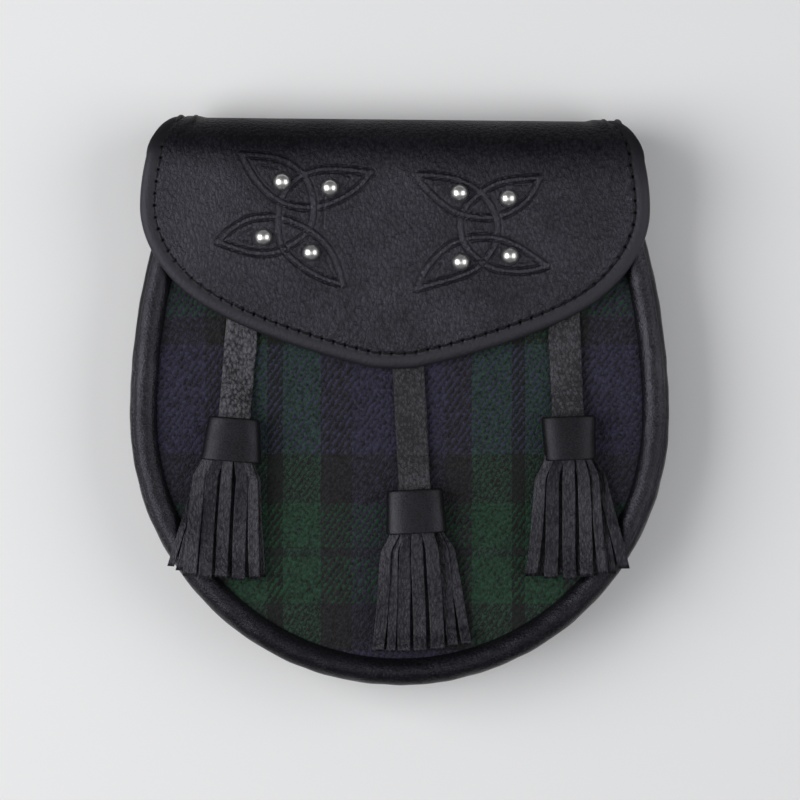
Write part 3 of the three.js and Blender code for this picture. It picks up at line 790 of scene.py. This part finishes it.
def nickel_finish():
    """Polished plate with fine handling marks."""
    made, tree = material("nickel")
    marks = noise(tree, add(tree, "TexCoord")["Object"], 700.0, 4.0)[0]
    colour = mix_colour(tree, marks, (0.7, 0.69, 0.66, 1), (0.86, 0.85, 0.82, 1))
    gloss = remap(tree, marks, 0.0, 1.0, 0.26, 0.34)
    finish_material(tree, Base_Color=colour, Metallic=1.0, Roughness=gloss)
    return made


nickel = nickel_finish()
arc = np.linspace(0, np.pi / 2, 14)
cap = spread(stud_radius * np.cos(arc), 0.35 + stud_height * np.sin(arc))
shank = [[0, -2.0], [1.1, -2.0], [1.1, 0.0], [stud_radius - 0.25, 0.0], [stud_radius, 0.15]]
stud_points, stud_faces = turned(np.r_[shank, cap], 40)
for number, (side, down) in enumerate(stud_table, 1):
    y = fold_start - down * flap_drop
    seat = np.array([[side * flap_half_width, y, flap_under_height(y) + leather]])
    seat = place_flap(seat, seat[:, 2])
    dome = mesh_object(f"stud_dome_{number}", stud_points + seat, stud_faces, nickel)
    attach(dome, "root")
    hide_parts(f"stud_{number}")

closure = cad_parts["closure_stud"]
closure.data.materials.clear()
closure.data.materials.append(nickel)

# Gusset: smoother black leather, 1.8 mm thick, round the sides and the bottom. It rolls over
# the edge of the front as a round welt and is turned in at the back. Handling has creased it.
gusset_thickness = 1.8
waist_inset = 1.4
heel_radius = 2.6
flange_width = 8.0
gusset_top_gap = 1.2
gusset_step = 0.9
lump_height = 0.1
crease_depth = 0.55


def gusset_section():
    """The section's outer face as inset and height: the roll's arc, the waisted wall, the
    quarter circle of the heel and the flange. Then its outward normals and the inner face, one
    thickness inside it."""
    centre_z = pouch_depth - roll_dip
    arc = np.linspace(math.asin((roll_dip + clearance) / roll_radius), np.pi, 22)
    roll = [roll_radius, centre_z] + roll_radius * spread(np.cos(arc), np.sin(arc))
    floor_z = leather + clearance
    heel_top = floor_z + heel_radius
    share = np.linspace(0, 1, 12)[1:-1]
    wall = spread(waist_inset * np.sin(np.pi * share), centre_z + (heel_top - centre_z) * share)
    turn = np.linspace(np.pi, 1.5 * np.pi, 7)
    heel = [heel_radius, heel_top] + heel_radius * spread(np.cos(turn), np.sin(turn))
    flange = [[heel_radius + flange_width / 2, floor_z], [heel_radius + flange_width, floor_z]]
    face = np.r_[roll, wall, heel, flange]
    along = unit(np.gradient(face, axis=0))
    out = spread(along[:, 1], -along[:, 0])
    lining = face - gusset_thickness * out
    lining[0, 1] = max(lining[0, 1], pouch_depth + clearance)
    return face, out, lining


def outline_places(step):
    """Places and inward directions along the outline, from the right top round to the left."""
    side_angle = math.asin((fold_start - gusset_top_gap - lobe_y) / shoulder_radius)
    side_count = round(side_angle * shoulder_radius / step)
    low_count = round(np.pi * half_width / step)
    a = side_angle * (1 - np.arange(side_count) / side_count)
    b = -np.pi * np.arange(low_count + 1) / low_count
    side, low = spread(np.cos(a), np.sin(a)), spread(np.cos(b), np.sin(b))
    right = [half_width - shoulder_radius, lobe_y] + shoulder_radius * side
    bottom = [0, lobe_y] + half_width * low
    mirror = [-1, 1]
    return np.r_[right, bottom, right[::-1] * mirror], -np.r_[side, low, side[::-1] * mirror]


def soft_noise(x, y, seed, count=14, low=0.03, high=0.16):
    """Slow bumps: a mean of sine waves with directions, lengths and phases from a seed."""
    rng = np.random.default_rng(seed)
    total = np.zeros(np.broadcast(x, y).shape)
    for _ in range(count):
        angle, wave, phase = rng.uniform(0, np.pi), rng.uniform(low, high) * 2 * np.pi, rng.uniform(0, 7)
        total += np.sin(wave * (x * np.cos(angle) + y * np.sin(angle)) + phase)
    return total / math.sqrt(count)


def gusset_mesh():
    """The section carried round the outline. Each ring point is place + inset * inward; slow
    noise and a crease move it along the section's own normal."""
    places, inward = outline_places(gusset_step)
    face, out, lining = gusset_section()
    reach = way_along(face)
    way = np.arange(len(places))[:, None] * gusset_step
    lump = lump_height * soft_noise(way, reach * 1.6, 3)
    # The crease runs along the outer shoulder of the roll, deepest at the sides.
    wander = 10.6 + 0.5 * np.sin(way / 31) + 0.3 * np.sin(way / 11)
    side = smoothstep(0.72, 0.97, np.abs(places[:, :1]) / half_width)
    crease = crease_depth * groove(np.abs(reach - wander), 1.9) * side
    shift = (lump - crease) * smoothstep(0, 1.5, reach) * smoothstep(40, 34, reach)
    section = face + shift[..., None] * out

    def carried(points):
        return raised(places[:, None] + points[..., :1] * inward[:, None], points[..., 1])

    return shell(carried(section), carried(np.broadcast_to(lining, section.shape)))


gusset_finish = leather_finish("gusset_leather", (0.0026, 0.0024, 0.0036), (0.0082, 0.0078, 0.0098),
                               0.3, 0.4, 1300.0, 1.0, 0.00012, 0.13)
gusset_points, gusset_faces = gusset_mesh()
gusset = mesh_object("gusset_leather", gusset_points, gusset_faces, gusset_finish)
point_mask(gusset, "dull", 0.45 * smoothstep(-45, -85, gusset_points[:, 1]))
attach(gusset, "root")
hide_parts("gusset")

# Front: woollen twill in a dark tartan of navy, green and black, stretched over a leather
# backing, with its edge under the gusset's roll.
front_thickness = 2.2
seam_allowance = 3.0
mouth_drop = 3.6


def tartan_front():
    """Top and bottom grids: rows at equal height, columns at shares of the row's width."""
    inset = band_width - seam_allowance
    radius = half_width - inset
    low = lobe_y - radius * np.cos(np.linspace(math.asin(6 / radius), np.pi / 2, 70))
    y = np.r_[low, np.linspace(lobe_y, fold_start - mouth_drop, 80)[1:]][:, None]
    x = np.linspace(-1, 1, 180) * outline_at(y, inset)
    ripple = 0.12 * soft_noise(x, y, 8, low=0.008, high=0.03)
    ripple = ripple * smoothstep(band_width, band_width + 6, depth_inside(x, y))
    rows = spread(x, y, cloth_height(x, y) + ripple)
    return rows, rows - [0, 0, front_thickness]


def tartan_finish():
    """Twill: a coloured sett in X for the warp and in Y for the weft, and a diagonal rib picks
    which of the two shows. Stripes are steps of constant colour on a ramp."""
    made, tree = material("tartan")
    where = add(tree, "TexCoord")["Object"]
    bent = moved_about(tree, where, noise(tree, where, 240.0, 2.0), 0.0007)
    across, up, _ = add(tree, "SeparateXYZ", {0: bent})

    def sett(value, start, stripes):
        """Stripes of constant colour from a start to 0.1, in metres: each colour begins at its
        own place, in millimetres."""
        shown = add(tree, "ValToRGB", {0: remap(tree, value, start, 0.1)})[0]
        shown.node.color_ramp.interpolation = "CONSTANT"
        elements = shown.node.color_ramp.elements
        while len(elements) < len(stripes):
            elements.new(0.5)
        for element, (place, colour) in zip(elements, stripes):
            element.position = (place * 0.001 - start) / (0.1 - start)
            element.color = colour
        return shown

    # The warp, from left to right.
    green, navy = (0.0113, 0.0315, 0.0203, 1), (0.0167, 0.0149, 0.0277, 1)
    black, line = (0.0112, 0.0103, 0.0135, 1), (0.0045, 0.008, 0.0065, 1)
    warp = sett(across, -0.1, [
        (-100, navy), (-68.4, black), (-59.6, green), (-46.5, line), (-41, green), (-27.6, black),
        (-16.9, navy), (16.4, black), (25.2, green), (39.6, line), (44.2, green), (57.2, black),
        (66.7, navy)])
    # The weft, from the bottom up, in deeper colours: the same yarns as the warp, with greens and blacks
    # darkened as painted shade where the weft lies in the valleys between the ribs.
    green, navy = (0.004, 0.025, 0.0095, 1), (0.0155, 0.0148, 0.034, 1)
    black, line = (0.005, 0.0042, 0.0042, 1), (0.005, 0.008, 0.007, 1)
    weft = sett(up, -0.11, [
        (-110, navy), (-87.4, black), (-70.8, green), (-54.3, line), (-51.5, green), (-35.8, black),
        (-18.8, navy), (19.9, black), (30.1, green), (45, line), (48, green)])
    # The ribs climb to the right, 55 degrees from level, 1.9 mm apart, blurred by loose fibres.
    diagonal = calc(tree, "MULTIPLY_ADD", up, -0.7, across)
    fuzz = noise(tree, where, 900.0, 3.0)[0]
    rib = calc(tree, "MULTIPLY_ADD", fuzz, 9.5, calc(tree, "MULTIPLY", diagonal, 2 * math.pi / 0.0023))
    rib = calc(tree, "SINE", rib)
    woven = mix_colour(tree, remap(tree, rib, 1.0, -0.05, interpolation_type="SMOOTHSTEP"), weft, warp)
    tone = calc(tree, "MULTIPLY_ADD", rib, 0.3, remap(tree, fuzz, 0.3, 0.7, 0.25, 1.75))
    colour = add(tree, "VectorMath", {0: woven, 3: tone}, operation="SCALE")[0]
    threads = calc(tree, "MULTIPLY_ADD", fuzz, 0.9, rib)
    bump = add(tree, "Bump", {"Strength": 0.8, "Distance": 0.00017, "Height": threads})[0]
    finish_material(tree, Base_Color=colour, Roughness=0.9, Normal=bump, Sheen_Weight=0.2,
                    Sheen_Roughness=0.5, Specular_IOR_Level=0.25)
    return made


front_rows, front_back = tartan_front()
cloth = mesh_object("tartan_front_cloth", *shell(front_rows, front_back), tartan_finish())
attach(cloth, "root")
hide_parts("tartan_front")

# Straps: three flat straps of grained leather, 11.3 mm wide. Each is sewn under the flap, lies
# on the cloth and ends inside the rolled head of its tassel.
strap_width = 11.3
strap_plug = 5.0
strap_rise = 2.4
strap_rise_length = 16.0
# Each tassel: its head's place across and up, as shares of the half width and the height, its
# lean in degrees, and its head's half widths at the top and the foot in millimetres.
tassel_table = {
    "left": (-0.611, -0.028, 4.6, 9.0, 10.7),
    "middle": (0.056, -0.154, -2.9, 9.8, 10.6),
    "right": (0.624, -0.0256, -2.3, 9.6, 8.9),
}


def tassel_frame(name):
    """A tassel's origin at its head's top, and its directions down and across."""
    across, up, lean = tassel_table[name][:3]
    turn = math.radians(lean)
    origin = np.array([across * half_width, up * pouch_height])
    return origin, np.array([-math.sin(turn), -math.cos(turn)]), np.array([math.cos(turn), -math.sin(turn)])


def along_tassel(name, down, across):
    """Points at distances down from the head's top and across the tassel."""
    origin, down_way, across_way = tassel_frame(name)
    down, across = np.broadcast_arrays(down, across)
    return origin + down[..., None] * down_way + across[..., None] * across_way


def rounded_bar(half_wide, half_thick, power=5, count=28):
    """A flat oval section: x = a c^(2/n), z = b s^(2/n), with the signs of cosine and sine."""
    angle = np.linspace(0, 2 * np.pi, count, endpoint=False)
    circle = spread(np.cos(angle), np.sin(angle))
    return [half_wide, half_thick] * np.sign(circle) * np.abs(circle) ** (2 / power)


def strap_mesh(name):
    """A flat oval section carried down the strap. It lies on the cloth and rises by a smooth
    step into the head; its edges waver a little."""
    origin = tassel_frame(name)[0]
    edge = flap_edge_line()[80:]
    edge_y = float(np.interp(-abs(origin[0]), -edge[:, 0], edge[:, 1]))
    down = np.linspace(origin[1] - edge_y - strap_tuck, strap_plug, 90)[:, None]
    section = rounded_bar(strap_width / 2, strap_thickness / 2)
    waver = 1 + 0.012 * np.sin(down / 5.3) + 0.01 * np.sin(down / 2.1 + 1)
    xy = along_tassel(name, down, section[:, 0] * waver)
    lift = strap_rise * smoothstep(-strap_rise_length, 0, down)
    lie = cloth_height(xy[..., 0], xy[..., 1]) + clearance + strap_thickness / 2 + lift
    return raised(xy, lie + section[:, 1]), tube_faces(*xy.shape[:2])


# Each strap: how light its pores and its worn grain are.
strap_colours = (("left", 0.0015, 0.083), ("middle", 0.0075, 0.036), ("right", 0.009, 0.047))
for name, pore, worn_light in strap_colours:
    worn_colour = (worn_light, 0.97 * worn_light, 1.09 * worn_light)
    strap_finish = leather_finish(f"strap_{name}_grain", (pore, pore, 1.12 * pore), worn_colour,
                                  0.5, 0.4, 950.0, 1.5, 0.0004, 0.08)
    strap = mesh_object(f"strap_{name}_leather", *strap_mesh(name), strap_finish)
    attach(strap, "root")
    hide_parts(f"strap_{name}")

# Tassels: a leather cut into strips and rolled up round the end of its strap, with a smooth
# band round the roll as its head. The strips fan out over the cloth.
head_half_thickness = 4.6
head_length = 15.4
strip_thickness = 1.4
strip_length = 41.0
strip_root = 2.5
layer_gap = 0.35


def rest_height(x, y):
    """What lies on the front rests on the cloth, and on a ramp up over the roll."""
    share = np.clip(2 - depth_inside(x, y) / band_width, 0, 1)
    lie = cloth_height(x, y)
    return lie + (crest - lie) * share


def head_middle(name):
    """Height of the head's axis: the head lies on the highest cloth under it."""
    ends = along_tassel(name, np.array([0, head_length]), np.zeros(2))
    return float(cloth_height(ends[:, 0], ends[:, 1]).max()) + clearance + head_half_thickness


def head_mesh(name, seed):
    """An oval carried down the head, rounded at both rims and slightly uneven, as rolled
    leather is. Its half width runs evenly from its top's to its foot's."""
    s = np.array([0, 0.12, 0.35, 0.8, 1.6, 3.5, 6, 9, 12, 14.2, 14.9, 15.25, 15.4])[:, None]
    size = 1 - 0.09 * round_over(s, 0.9) - 0.05 * round_over(head_length - s, 0.7)
    size = size * (1 + 0.012 * soft_noise(s * 2.2, np.arange(56) * 1.1, seed, low=0.02, high=0.07))
    section = rounded_bar(1, 1, power=2.5, count=56)
    half = np.interp(s, [0, head_length], tassel_table[name][3:])
    xy = along_tassel(name, s, half * size * section[:, 0])
    thick = head_half_thickness * size * section[:, 1]
    return raised(xy, head_middle(name) + thick), tube_faces(len(s), 56)


# Each strip: its place across at its root and its end and its width, in millimetres, the layer
# that it lies in from the cloth up, and its share of the length.
strip_tables = {
    "left": [
        (-10, -18, 2.4, 0, 0.93), (-9.2, -14.2, 4, 0, 0.97), (-6, -8.6, 4.8, 0, 0.99),
        (-2.4, -3, 4.8, 0, 0.98), (2.3, 3, 4.8, 0, 0.99), (6.5, 8.7, 4.8, 0, 0.98),
        (8.8, 13.6, 3.6, 0, 0.97), (-10.4, -11, 4.9, 1, 1), (-6.2, -5.6, 4.7, 1, 1.01),
        (-1.1, 0, 4.5, 1, 1), (4.1, 5.9, 4.7, 1, 1.01), (8.2, 11.7, 4, 1, 0.99)],
    "middle": [
        (-8.6, -13.4, 4.4, 0, 0.98), (-5, -8.6, 4.8, 0, 0.99), (-1.6, -3.6, 4.8, 0, 0.98),
        (2.6, 2.6, 4.8, 0, 0.99), (8.8, 10.5, 4, 0, 0.98), (10.4, 15.5, 3.6, 0, 0.97),
        (-10, -15.9, 4.4, 1, 0.99), (-7.4, -11.2, 3.2, 1, 1), (-4.4, -6.6, 4.6, 1, 1),
        (0, -1, 4.6, 1, 1.01), (4.8, 5.2, 5, 1, 1)],
    "right": [
        (-8.2, -11.8, 4.6, 0, 0.98), (-4, -5.2, 4.8, 0, 0.98), (0.8, 1.2, 4.8, 0, 0.99),
        (6, 8, 4.8, 0, 0.98), (8.6, 12.6, 4.2, 0, 0.98), (9.6, 17.4, 4, 0, 0.94),
        (-9.6, -15.2, 4.4, 1, 0.98), (-5.8, -8.4, 4.8, 1, 1), (-0.5, -1.7, 4.7, 1, 1.01),
        (4.4, 4.2, 4.7, 1, 1), (8.4, 10, 3.4, 1, 0.99)],
}


def strips_mesh(name, seed):
    """All strips of a tassel. Each is a slightly cupped section carried from inside the head to
    its end: it starts rolled by about 20 degrees and opens out, across follows the power 1.15 of
    the way and is drawn in by the head, and the height falls to the cloth with a low arch."""
    rng = np.random.default_rng(seed)
    share = np.linspace(0, 1, 34)
    section = rounded_bar(0.5, 0.5, power=6, count=20)
    middle_z = head_middle(name)
    strips = []
    for root, end, width, layer, length in strip_tables[name]:
        run = strip_root + strip_length * length + rng.uniform(-0.3, 0.3)
        down = head_length - strip_root + share * run
        sway = rng.uniform(-0.4, 0.4) * np.sin(np.pi * share)
        sway = sway + rng.uniform(-0.2, 0.2) * np.sin(2 * np.pi * share)
        drawn_in = 1 - 0.28 * smoothstep(head_length + 7, head_length - 1.5, down)
        across = drawn_in * (root + (end - root) * share**1.15) + sway
        rolled = math.radians(rng.uniform(10, 26)) * rng.choice([-1, 1])
        rolled = rolled * (1 - smoothstep(0.05, 0.7, share))
        turn = math.radians(rng.uniform(-9, 9)) * np.sin(0.5 * np.pi * share) * (1 if layer else 0.4)
        twist = (rolled + turn)[:, None]
        wide = section[:, 0] * width * (0.9 + 0.1 * smoothstep(0, 0.4, share))[:, None]
        thick = strip_thickness * (1 - 0.5 * smoothstep(0.985, 1, share))[:, None]
        cupped = section[:, 1] * thick + 0.9 * section[:, 0] ** 2
        flat_x = wide * np.cos(twist) - cupped * np.sin(twist)
        lift_z = wide * np.sin(twist) + cupped * np.cos(twist)
        axis = along_tassel(name, down, across)
        rest = rest_height(axis[:, 0], axis[:, 1]) + clearance + strip_thickness / 2
        rest = rest + layer * (strip_thickness + clearance + layer_gap)
        rest = rest + 0.4 * np.abs(np.sin(twist[:, 0])) * width
        start_z = middle_z + (layer - 0.5) * head_half_thickness * 0.8
        lie = np.maximum(rest, start_z + (rest - start_z) * share**0.6)
        arch = rng.uniform(0.0, 0.7) * np.sin(np.pi * share) * (0.4 + 0.6 * layer)
        xy = along_tassel(name, down[:, None], across[:, None] + flat_x)
        strips.append(raised(xy, (lie + arch)[:, None] + lift_z))
    return np.stack(strips), copies(tube_faces(34, 20), len(strips), 34 * 20)


head_finish = leather_finish("tassel_head_leather", (0.0032, 0.003, 0.0039), (0.0088, 0.0084, 0.0102),
                             0.38, 0.26, 1500.0, 0.6, 0.00004, 0.1)
strip_finish = leather_finish("tassel_strip_leather", (0.001, 0.001, 0.0016), (0.02, 0.0193, 0.0223),
                              0.42, 0.355, 1300.0, 2.6, 0.0002, 0.12)
for seed, name in enumerate(tassel_table, 21):
    head = mesh_object(f"tassel_{name}_head", *head_mesh(name, seed), head_finish)
    skirt = mesh_object(f"tassel_{name}_strips", *strips_mesh(name, seed), strip_finish)
    for made in (head, skirt):
        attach(made, "root")
    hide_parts(f"tassel_{name}")
    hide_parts(f"tassel_{name}")
